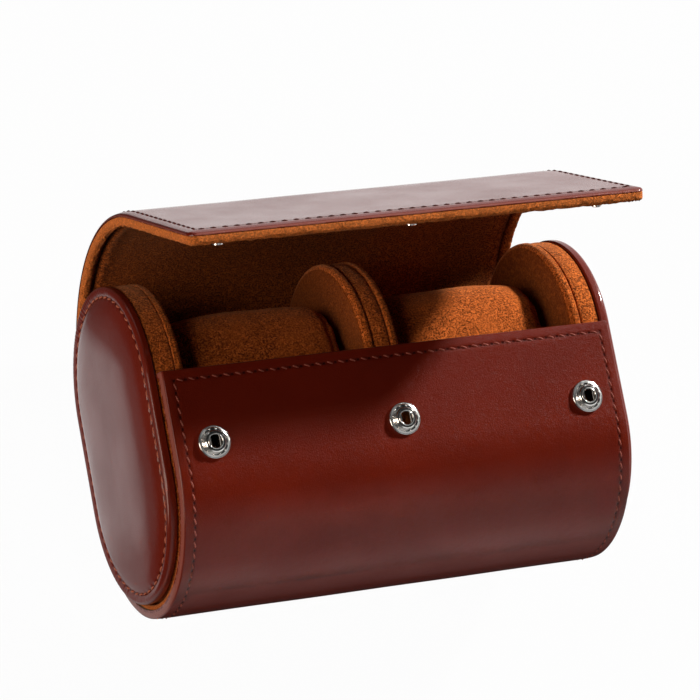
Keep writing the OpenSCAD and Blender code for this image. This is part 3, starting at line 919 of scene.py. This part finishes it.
def suede_disc(name, node_name, side, base, radius, crown=0.6):
    """Suede-covered face panel: a rounded profile from its middle over its rim to its back,
    carried round the stadium, with rough nap. The rim shows the suede's rougher cut."""
    r = radius / MM
    corners = [(0, 0, 0), (r - FACE_RIM - 0.6, 0, 0.5), (r, FACE_RIM * 0.7, FACE_RIM),
               (r + crown / 6, FACE_T - crown, 0.5), (r - crown, FACE_T, 0.3), (0, FACE_T, 0)]
    surface = napped_track(profile_steps(in_metres(corners), 0.8 * MM), 2 * MM, side, base)
    # The face takes the darker face suede, which is painted shade; its rim takes the band suede
    piece = new_piece(name, *swept(surface), "face", "lining_suede")
    piece.data.materials.append(MATERIALS["band"])
    centre = np.zeros(len(piece.data.polygons) * 3)
    piece.data.polygons.foreach_get("center", centre)
    _, y, z = centre.reshape(-1, 3).T
    out = np.hypot(np.maximum(np.abs(y) - HINGE_Y, 0), z - MID_Z)
    piece.data.polygons.foreach_set("material_index", (out > radius - FACE_RIM * MM).astype(np.int32))
    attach(piece, "case")
    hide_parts(node_name)


def suede_band(name, node_name, low, high, radius, crown=0.4 * MM):
    """Suede band round an end or the divider: a thin closed profile with soft rims."""
    foot, bend = radius - BAND_T, 0.1 * MM
    corners = [(foot, low + 0.4 * MM, 0), (foot, low, 0.2 * MM), (radius - crown, low + bend, 0.7 * MM),
               (radius, (low + high) / 2, 3 * MM), (radius - crown, high - bend, 0.7 * MM),
               (foot, high, 0.2 * MM), (foot, low + 0.4 * MM, 0)]
    profile = profile_steps(corners, 0.8 * MM)[:-1]
    surface = napped_track(profile, radius - 0.5 * BAND_T, 1, 0)
    surface = np.concatenate([surface, surface[:1]])
    piece = new_piece(name, *swept(surface), "band", "lining_suede")
    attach(piece, "case")
    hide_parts(node_name)


# ---- Cushions ----

CUSHION_Y = (-47.95 * MM, 40.2 * MM)
CUSHION_Z = (12.5 * MM, 71.5 * MM)
DRAW_IN = 1.0 * MM
PUFF = 1.7 * MM


def cushion_shell(x0, x1):
    """Closed rounded box as a grid: the section's superellipse, drawn in towards the two
    ends by a power of the way there and a quarter circle, and closed to a line in each."""
    y0, y1 = CUSHION_Y[0] + DRAW_IN, CUSHION_Y[1] - DRAW_IN
    z0, z1 = CUSHION_Z[0] + DRAW_IN, CUSHION_Z[1] - DRAW_IN
    x0, x1 = x0 + DRAW_IN, x1 - DRAW_IN
    soft, crown, power = 4.2 * MM, 2.6 * MM, 3.3
    a = np.linspace(0, 2 * math.pi, 96, endpoint=False)
    section_y, section_z = (np.sign(v) * np.abs(v) ** (2 / power) for v in (np.cos(a), np.sin(a)))
    q = np.linspace(0, math.pi / 2, 7)
    between = np.linspace(x0 + soft, (x0 + x1) / 2, 9)[1:]
    inset = np.concatenate([[(z1 - z0) / 2, 18 * MM, 11 * MM], soft * (1 - np.sin(q)), 0 * between])
    place = np.concatenate([[x0] * 3, x0 + soft * (1 - np.cos(q)), between])
    away = unit(1 - (place - x0) * 2 / (x1 - x0))
    inset = inset + crown * away ** 3.5 * (inset < (z1 - z0) / 2)
    inset = np.concatenate([inset, inset[::-1][1:]])
    place = np.concatenate([place, (x0 + x1) - place[::-1][1:]])
    half_y, half_z = ((y1 - y0) / 2 - inset)[:, None], ((z1 - z0) / 2 - inset)[:, None]
    return swept(np.stack(np.broadcast_arrays(place[:, None], (y0 + y1) / 2 + half_y * section_y,
                                              (z0 + z1) / 2 + half_z * section_z), -1))


def point_values(piece, key):
    values = np.zeros(len(piece.data.vertices) * 3)
    piece.data.vertices.foreach_get(key, values)
    return values.reshape(-1, 3)


def set_points(piece, points):
    piece.data.vertices.foreach_set("co", np.asarray(points, np.float32).ravel())
    piece.data.update()


def apply_modifiers(piece):
    """Replaces the piece's mesh by its mesh with the modifiers, and drops them."""
    graph = bpy.context.evaluated_depsgraph_get()
    fresh = bpy.data.meshes.new_from_object(piece.evaluated_get(graph), depsgraph=graph)
    piece.modifiers.clear()
    piece.data = fresh


def swollen(piece, cap):
    """Blows the cover up with Blender's Cloth at a low pressure, no gravity, and holds each
    point within cap of where it started."""
    remesh = piece.modifiers.new("even", "REMESH")
    remesh.mode, remesh.voxel_size = "VOXEL", 4 * MM
    bpy.context.view_layer.objects.active = piece
    apply_modifiers(piece)
    start = point_values(piece, "co")
    cloth = piece.modifiers.new("cover", "CLOTH")
    cloth.settings.use_pressure = True
    cloth.settings.uniform_pressure_force = 4.0
    cloth.settings.effector_weights.gravity = 0.0
    cloth.settings.quality = 5
    frames = 20
    cloth.point_cache.frame_start, cloth.point_cache.frame_end = 1, frames
    scene = bpy.context.scene
    for f in range(1, frames + 1):
        scene.frame_set(f)
    apply_modifiers(piece)
    moved = point_values(piece, "co") - start
    size = np.linalg.norm(moved, axis=1, keepdims=True)
    set_points(piece, start + moved * np.minimum(1, cap / np.maximum(size, 1e-9)))
    scene.frame_set(1)


def cushion_piece(side):
    """Padded cushion: the drawn-in shell swollen by cloth, subdivided, then pressed in
    along the two end seams, puckered beside them and lightly creased."""
    name = "left_cushion" if side < 0 else "right_cushion"
    lo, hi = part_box(f"{name}_cover")
    # The pad stands out past its cover, further at the end towards the divider
    inner, outer, seam_in = 1.8 * MM, 0.6 * MM, 3.2 * MM
    wide = (lo.x - outer, hi.x + inner) if side < 0 else (lo.x - inner, hi.x + outer)
    piece = new_piece(f"{name}_pad", *cushion_shell(*wide), "cushion", crease=180)
    swollen(piece, PUFF)
    finer = piece.modifiers.new("finer", "SUBSURF")
    finer.levels = finer.render_levels = 2
    apply_modifiers(piece)
    p, normal = point_values(piece, "co"), point_values(piece, "normal")
    x, y, z = p.T
    from_end = np.minimum(x - lo.x, hi.x - x)
    turn = np.arctan2(z - (lo.z + hi.z) / 2, y - (lo.y + hi.y) / 2)
    pucker = np.sin(turn * 46 + 2 * np.sin(turn * 5)) * bell(from_end - seam_in, 4.5 * MM)
    crease = waves(x + 0.4 * z, y + z, 22 * MM, 3.0 + side)
    p = p + normal * (-0.9 * MM * bell(from_end - seam_in, 1.1 * MM) + 0.22 * MM * pucker
                      + 0.35 * MM * crease + 0.04 * MM * hashed(x, y, z))[:, None]
    set_points(piece, p)
    layer = piece.data.attributes.get("rest") or piece.data.attributes.new("rest", "FLOAT_VECTOR", "POINT")
    layer.data.foreach_set("vector", p.astype(np.float32).ravel())
    piece.data.shade_smooth()
    if not piece.data.materials:
        piece.data.materials.append(MATERIALS["cushion"])
    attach(piece, name)
    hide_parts(f"{name}_cover", f"{name}_core")


# ---- Snaps ----

# Radius about the socket's axis, bead's radius and height over the panel, in mm: the
# flange's rim, the foot of the raised ring and the lip of the hole
SNAP_BEADS = ((5.20, 0.20, 0.75), (3.72, 0.16, 0.98), (2.46, 0.20, 2.10))
# Radius and height of the rings of a dot, and the circle that the dots stand on
DOT_RINGS = ((0.34 * MM, 0), (0.25 * MM, 0.15 * MM), (0, 0.21 * MM))
DOT_COUNT, DOT_CIRCLE_R, DOT_FOOT_H = 12, 4.35 * MM, 1.08 * MM


def snap_beads():
    """Rolled edges of each socket: round beads carried about its axis."""
    a, b = np.linspace(0, 2 * math.pi, 9)[:, None], np.arange(72) * math.pi / 36
    parts = []
    for c in SNAP_X:
        for ring_r, bead_r, height in SNAP_BEADS:
            away = (ring_r + bead_r * np.cos(a)) * MM
            z = 2 * MID_Z + (height + bead_r * np.sin(a)) * MM
            x, y = c + away * np.cos(b), SNAP_Y + away * np.sin(b)
            parts.append(swept(np.stack(np.broadcast_arrays(x, y, z), -1)))
    piece = new_piece("snap_rolled_edges", *joined(parts), "nickel", "nickel")
    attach(piece, "case")


def snap_marks():
    """Raised dots round each socket's flange: low domes, each three rings of six."""
    a = (np.arange(DOT_COUNT) + 0.5) * 2 * math.pi / DOT_COUNT
    b = np.arange(6) * math.pi / 3
    dome = np.stack([np.stack([r * np.cos(b), r * np.sin(b), np.full_like(b, h)], -1) for r, h in DOT_RINGS])
    parts = []
    for c in SNAP_X:
        centre = np.stack([c + DOT_CIRCLE_R * np.cos(a), SNAP_Y + DOT_CIRCLE_R * np.sin(a),
                           np.full_like(a, 2 * MID_Z + DOT_FOOT_H)], -1)
        parts.append(((centre[:, None, None] + dome).reshape(-1, 3), tube_faces(DOT_COUNT, 3, 6)))
    piece = new_piece("snap_flange_dots", *joined(parts), "nickel", "nickel")
    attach(piece, "case")


# ---- Stage ----

# Middle of the dark patch of ceiling that the snap panel mirrors
DARK_WAY = (0.392, 0.168, 0.905)

# The floor's half width and its depth under the case, which keeps the two from touching
FLOOR_HALF = 6.0
FLOOR_DROP = 0.0003

# The camera's place, and about which way its right side and its top point
CAMERA_PLACE = (-0.502, -0.194, 1.2095)
CAMERA_RIGHT, CAMERA_UP = (0.914, -0.183, 0.362), (0.104, 0.968, 0.225)


def placed(obj):
    bpy.context.scene.collection.objects.link(obj)
    return obj


def lamp(name, way, distance, target, width, height, watts, colour=(1, 1, 1), spread=180):
    """Rectangular lamp a distance from its target along way, and aimed at it."""
    data = bpy.data.lights.new(name, "AREA")
    data.shape, data.size, data.size_y = "RECTANGLE", width, height
    data.energy, data.color, data.spread = watts, colour, math.radians(spread)
    obj = placed(bpy.data.objects.new(name, data))
    obj.location = target + np.array(way) * distance
    obj.rotation_mode = "QUATERNION"
    obj.rotation_quaternion = (Vector(target) - obj.location).to_track_quat("-Z", "Y")
    return obj


def ray_kinds(tree):
    """Masks of the camera's rays and of the glossy and transmitted ones."""
    path = node(tree, "LightPath").outputs
    return path["Is Camera Ray"], larger(tree, path["Is Glossy Ray"], path["Is Transmission Ray"])


def floor_material(glow):
    """Pale floor: matt, with a plain glow of its own for the camera's and glossy rays. In
    reflections the glow stops at the edges of a sheet of paper under the case."""
    material, tree, shader = start_material("pale floor")
    connect(tree, shader, {"Base Color": (0.35, 0.35, 0.35, 1), "Roughness": 0.9, "Specular IOR Level": 0.0})
    camera, glossy = ray_kinds(tree)
    at = axes(tree, node(tree, "TexCoord").outputs["Object"])
    # The paper's front edge, its left part and what lies further forward, then its left edge
    front = larger(tree, remapped(tree, at["Y"], -0.05, -0.02, 0.02, 1.0),
                   remapped(tree, at["X"], -0.070, -0.086, 0.0, 0.55))
    front = larger(tree, front, remapped(tree, at["Y"], -0.08, -0.24, 0.02, 1.0))
    shifted = math_node(tree, "SUBTRACT", at["X"], remapped(tree, at["Y"], 0.035, 0.075, 0.0, 0.05))
    paper = times(tree, remapped(tree, shifted, -0.116, -0.104, 0.06, 1.0), front)
    strength = larger(tree, camera, times(tree, glossy, paper))
    glowing = node(tree, "Emission", {"Color": WHITE, "Strength": strength})
    share = times(tree, larger(tree, camera, glossy), glow)
    both = node(tree, "MixShader", {0: share, 1: tree.nodes["Principled BSDF"].outputs[0],
                                    2: glowing.outputs[0]})
    connect(tree, tree.nodes["Material Output"].inputs, {"Surface": both.outputs[0]})
    return material


def build_floor(light):
    far = FLOOR_HALF
    mesh = bpy.data.meshes.new("floor")
    mesh.from_pydata([(-far, -far, 0), (far, -far, 0), (far, far, 0), (-far, far, 0)], [], [(0, 1, 2, 3)])
    mesh.materials.append(floor_material(light.floor_glow))
    floor = placed(bpy.data.objects.new("floor", mesh))
    floor.location.z = -FLOOR_DROP


def build_world(light):
    """Surroundings: white to the camera, a weak fill to matt surfaces, and in reflections a
    ceiling with a dark patch about DARK_WAY and a dark left side."""
    world = bpy.data.worlds.new("studio")
    bpy.context.scene.world = world
    world.use_nodes = True
    tree = world.node_tree
    camera, glossy = ray_kinds(tree)
    way = node(tree, "TexCoord").outputs["Generated"]
    off_dark = node(tree, "VectorMath", {0: way, 1: DARK_WAY}, operation="DOT_PRODUCT").outputs["Value"]
    ceiling = times(tree, remapped(tree, off_dark, 0.88, 0.56, 0.01, light.ceiling),
                    remapped(tree, axes(tree, way)["X"], -0.45, -0.1, 0.05, 1.0))
    unseen = remapped(tree, glossy, 0.0, 1.0, light.fill, ceiling)
    connect(tree, tree.nodes["Background"].inputs,
            {"Color": WHITE, "Strength": remapped(tree, camera, 0.0, 1.0, unseen, 1.0)})


def build_lamps(light):
    """The key lamp and two softer ones, and a gridded lamp low in front that fills the turn
    of the wrap and isn't mirrored."""
    middle = np.array([0.0, 0.0, 0.05])
    lamp("key", [0.773, 0.487, 0.406], 1.6, middle, 0.14, 0.14, light.key_watts, (1.0, 0.99, 0.97))
    lamp("left", [-0.95, -0.12, 0.27], 1.2, middle, 0.6, 0.6, light.left_watts, (1.0, 0.84, 0.70))
    lamp("over", [-0.76, 0.02, 0.65], 1.3, middle, 0.4, 0.4, light.over_watts, (1.0, 0.9, 0.8))
    low = np.array([0.0, -0.052, 0.056])
    front = lamp("front", [0.0, -0.45, 0.84], 1.25, low, 0.30, 0.02, light.front_watts, spread=5)
    front.visible_glossy = False


def build_camera():
    """Camera from its place and its right and up directions, made square to each other."""
    data = bpy.data.cameras.new("camera")
    data.sensor_width, data.lens = 36.0, 196.7
    data.clip_start, data.clip_end = 0.05, 30
    camera = placed(bpy.data.objects.new("camera", data))
    right, up = Vector(CAMERA_RIGHT), Vector(CAMERA_UP)
    right.normalize()
    up = (up - right * up.dot(right)).normalized()
    turn = Matrix((right, up, right.cross(up))).transposed().to_4x4()
    camera.matrix_world = Matrix.Translation(Vector(CAMERA_PLACE)) @ turn
    bpy.context.scene.camera = camera


# ---- The add-on ----

def colour_property(name, text, value):
    return FloatVectorProperty(name=name, description=text, subtype="COLOR", size=3, min=0, max=1,
                               default=value)


def number_property(name, text, value, low=0, **settings):
    return FloatProperty(name=name, description=text, min=low, default=value, **settings)


def length_property(name, text, value):
    return number_property(name, text, value, unit="LENGTH", precision=5)


class CaseSizes(bpy.types.PropertyGroup):
    stitch_pitch: length_property("Stitch pitch", "Distance from one needle hole to the next", 4 * MM)
    stitch_length: length_property("Stitch length", "Length of thread that shows in a stitch", 3.1 * MM)
    thread_d: length_property("Thread", "Diameter of the thread", 0.62 * MM)
    seam_inset: length_property("Seam inset", "Distance of the seam from the edge", 4 * MM)


class CaseLook(bpy.types.PropertyGroup):
    leather: colour_property("Leather", "Colour of the glazed leather", (0.116, 0.0088, 0.0024))
    suede: colour_property("Lining", "Colour of the lining suede", (0.37, 0.080, 0.0125))
    cushion: colour_property("Cushions", "Colour of the cushions' suede", (0.36, 0.077, 0.0120))
    thread: colour_property("Thread", "Colour of the waxed thread", (0.22, 0.050, 0.033))
    nickel: colour_property("Nickel", "Colour of the snaps", (0.80, 0.78, 0.75))
    grain_mm: number_property("Grain", "Size of the leather's grain in millimetres", 0.8, 0.1)
    nap_mm: number_property("Nap", "Size of the suede's fibres in millimetres", 0.62, 0.1)


class CaseLight(bpy.types.PropertyGroup):
    key_watts: number_property("Key", "Power of the key lamp in watts", 52)
    left_watts: number_property("Left", "Power of the left lamp in watts", 8.0)
    over_watts: number_property("Over", "Power of the lamp overhead in watts", 4.4)
    front_watts: number_property("Front", "Power of the gridded lamp low in front in watts", 0.024)
    fill: number_property("Fill", "Strength of the light from all round", 0.02)
    ceiling: number_property("Ceiling", "Brightness of the ceiling in reflections", 0.8, max=1)
    floor_glow: number_property("Floor glow", "Share of the floor's own white to the eye", 0.975, max=1)


class CASE_OT_wrap(bpy.types.Operator):
    """Make the wrap: the leather over the board and the suede inside it"""
    bl_idname = "case.wrap"
    bl_label = "Wrap"

    def execute(self, context):
        build_materials(context.scene.case_look)
        wrap_leather_piece(context.scene.case_sizes)
        wrap_lining_piece()
        finish_node("wrap_board", "board")
        return {"FINISHED"}


class CASE_OT_lid(bpy.types.Operator):
    """Make the lid: seven pieces of leather and of suede, each over one fold"""
    bl_idname = "case.lid"
    bl_label = "Lid"

    def execute(self, context):
        for k in range(len(FOLDS)):
            lid_leather_piece(k, context.scene.case_sizes)
            lid_lining_piece(k, context.scene.case_sizes)
        return {"FINISHED"}


class CASE_OT_stitches(bpy.types.Operator):
    """Sew the wrap's and the lid's seams"""
    bl_idname = "case.stitches"
    bl_label = "Stitches"

    def execute(self, context):
        build_stitches(context.scene.case_sizes)
        return {"FINISHED"}


class CASE_OT_ends(bpy.types.Operator):
    """Make the two ends: padded leather caps, suede bands and suede faces"""
    bl_idname = "case.ends"
    bl_label = "Ends"

    def execute(self, context):
        # The left band comes up to its face, and a groove is left beside the right one
        for side, name, band_x, crown in ((-1, "left", 73.02, 0.15), (1, "right", 73.35, 0.5)):
            end_cap(side, context.scene.case_sizes)
            low, high = sorted((side * band_x * MM, side * END_BAND_X))
            suede_band(f"{name}_end_band_suede", f"{name}_end_band", low, high, DISC_R - SLACK, crown * MM)
            suede_disc(f"{name}_end_face_suede", f"{name}_end_face", side, END_FACE_X, DISC_R - SLACK, crown)
            finish_node(f"{name}_end_board", "board")
        return {"FINISHED"}


class CASE_OT_divider(bpy.types.Operator):
    """Make the divider: a suede face on each side of a suede band"""
    bl_idname = "case.divider"
    bl_label = "Divider"

    def execute(self, context):
        suede_band("divider_band_suede", "divider_band", -DIVIDER_BAND_X, DIVIDER_BAND_X, DIVIDER_R)
        for side, name in ((-1, "left"), (1, "right")):
            suede_disc(f"divider_{name}_face_suede", f"divider_{name}_face", -side, -DIVIDER_FACE_X,
                       DIVIDER_R)
        finish_node("divider_board", "board")
        return {"FINISHED"}


class CASE_OT_cushions(bpy.types.Operator):
    """Make the two watch cushions"""
    bl_idname = "case.cushions"
    bl_label = "Cushions"

    def execute(self, context):
        for side in (-1, 1):
            cushion_piece(side)
        return {"FINISHED"}


class CASE_OT_snaps(bpy.types.Operator):
    """Finish the snaps' sockets and studs, and add the sockets' rolled edges and dots"""
    bl_idname = "case.snaps"
    bl_label = "Snaps"

    def execute(self, context):
        for name in ("snap_sockets", "snap_socket_backs", "snap_studs", "snap_stud_backs"):
            finish_node(name, "nickel")
        # Dark springs: painted shade in the socket's hole
        finish_node("snap_springs", "spring")
        snap_beads()
        snap_marks()
        return {"FINISHED"}


class CASE_OT_stage(bpy.types.Operator):
    """Set the floor, the lamps and the camera"""
    bl_idname = "case.stage"
    bl_label = "Stage"

    def execute(self, context):
        context.scene.view_settings.view_transform = "Standard"
        build_floor(context.scene.case_light)
        build_world(context.scene.case_light)
        build_lamps(context.scene.case_light)
        build_camera()
        return {"FINISHED"}


OPERATORS = (CASE_OT_wrap, CASE_OT_lid, CASE_OT_stitches, CASE_OT_ends, CASE_OT_divider,
             CASE_OT_cushions, CASE_OT_snaps, CASE_OT_stage)


class CASE_PT_panel(bpy.types.Panel):
    """Sizes, colours and steps of the case"""
    bl_label = "Watch travel case"
    bl_space_type = "VIEW_3D"
    bl_region_type = "UI"
    bl_category = "Case"

    def draw(self, context):
        scene = context.scene
        for group in (scene.case_sizes, scene.case_look, scene.case_light):
            box = self.layout.box()
            for key in group.__annotations__:
                box.prop(group, key)
        for operator in OPERATORS:
            self.layout.operator(operator.bl_idname)


CLASSES = (CaseSizes, CaseLook, CaseLight, *OPERATORS, CASE_PT_panel)


def register():
    for cls in CLASSES:
        bpy.utils.register_class(cls)
    bpy.types.Scene.case_sizes = PointerProperty(type=CaseSizes)
    bpy.types.Scene.case_look = PointerProperty(type=CaseLook)
    bpy.types.Scene.case_light = PointerProperty(type=CaseLight)


def unregister():
    del bpy.types.Scene.case_light, bpy.types.Scene.case_look, bpy.types.Scene.case_sizes
    for cls in reversed(CLASSES):
        bpy.utils.unregister_class(cls)


def main():
    register()
    for operator in OPERATORS:
        group, step = operator.bl_idname.split(".")
        getattr(getattr(bpy.ops, group), step)()


if __name__ == "__main__":
    main()
